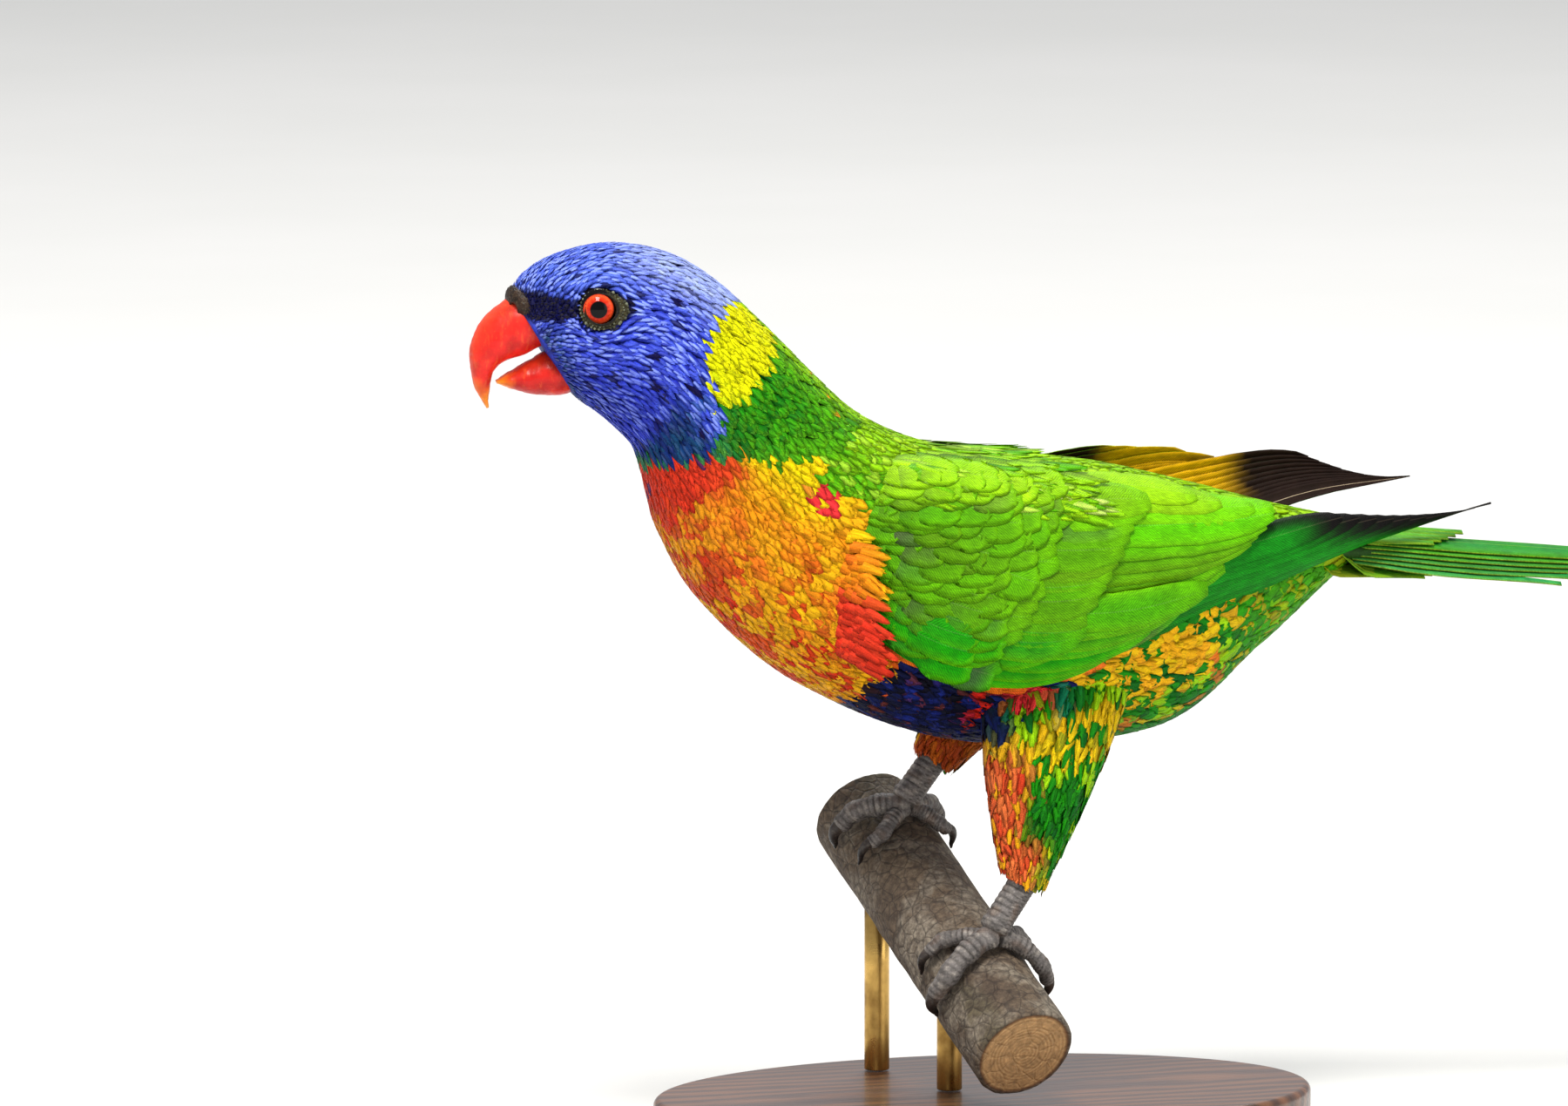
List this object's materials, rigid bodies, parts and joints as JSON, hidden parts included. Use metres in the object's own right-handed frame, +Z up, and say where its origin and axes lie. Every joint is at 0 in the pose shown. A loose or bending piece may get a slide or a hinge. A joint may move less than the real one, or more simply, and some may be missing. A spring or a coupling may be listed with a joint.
{
  "type": "rainbow lorikeet model",
  "caption": "Life-size still model of a rainbow lorikeet leaning forward, gripping a short cut branch held by a plain oval display stand.",
  "frame": {"origin": "centre of the stand base's underside", "axes": "+X towards the tail, -X towards the bill, +Y to the bird's right, +Z up"},
  "size_m": [0.2906, 0.1, 0.1877],
  "materials": {
    "head_feathers": "violet-blue feathers with pale streaks",
    "neck_feathers": "dark blue throat, yellow-green collar and green hindneck",
    "body_feathers": "orange-red breast, dark blue belly, green back, green and yellow flanks",
    "wing_feathers": "green feathers, black with a yellow band on the inner face",
    "tail_feathers": "green feathers, yellower on the inner webs",
    "bare_skin": "blackish bare skin with dark red nostrils",
    "eye": "glossy orange-red iris round a black pupil",
    "bill_horn": "glossy red horn with an orange tip",
    "foot_scales": "grey-brown scales",
    "claw_horn": "dark grey horn",
    "branch_wood": "grey-brown bark with pale cut ends",
    "base_wood": "dark varnished wood",
    "rod_brass": "satin brass"
  },
  "bodies": {
    "root": {"head": "head_feathers", "neck": "neck_feathers", "torso": "body_feathers", "wing_left": "wing_feathers", "wing_right": "wing_feathers", "tail": "tail_feathers", "thigh_left": "body_feathers", "thigh_right": "body_feathers", "cere": "bare_skin", "eye_left": "eye", "eye_right": "eye", "bill_upper": "bill_horn", "bill_lower": "bill_horn", "foot_left": "foot_scales", "foot_right": "foot_scales", "perch": "branch_wood", "stand_base": "base_wood", "stand_rod_front": "rod_brass", "stand_rod_back": "rod_brass", "claw_left_inner_front": "claw_horn", "claw_left_outer_front": "claw_horn", "claw_left_inner_rear": "claw_horn", "claw_left_outer_rear": "claw_horn", "claw_right_inner_front": "claw_horn", "claw_right_outer_front": "claw_horn", "claw_right_inner_rear": "claw_horn", "claw_right_outer_rear": "claw_horn"}
  },
  "joints": []
}
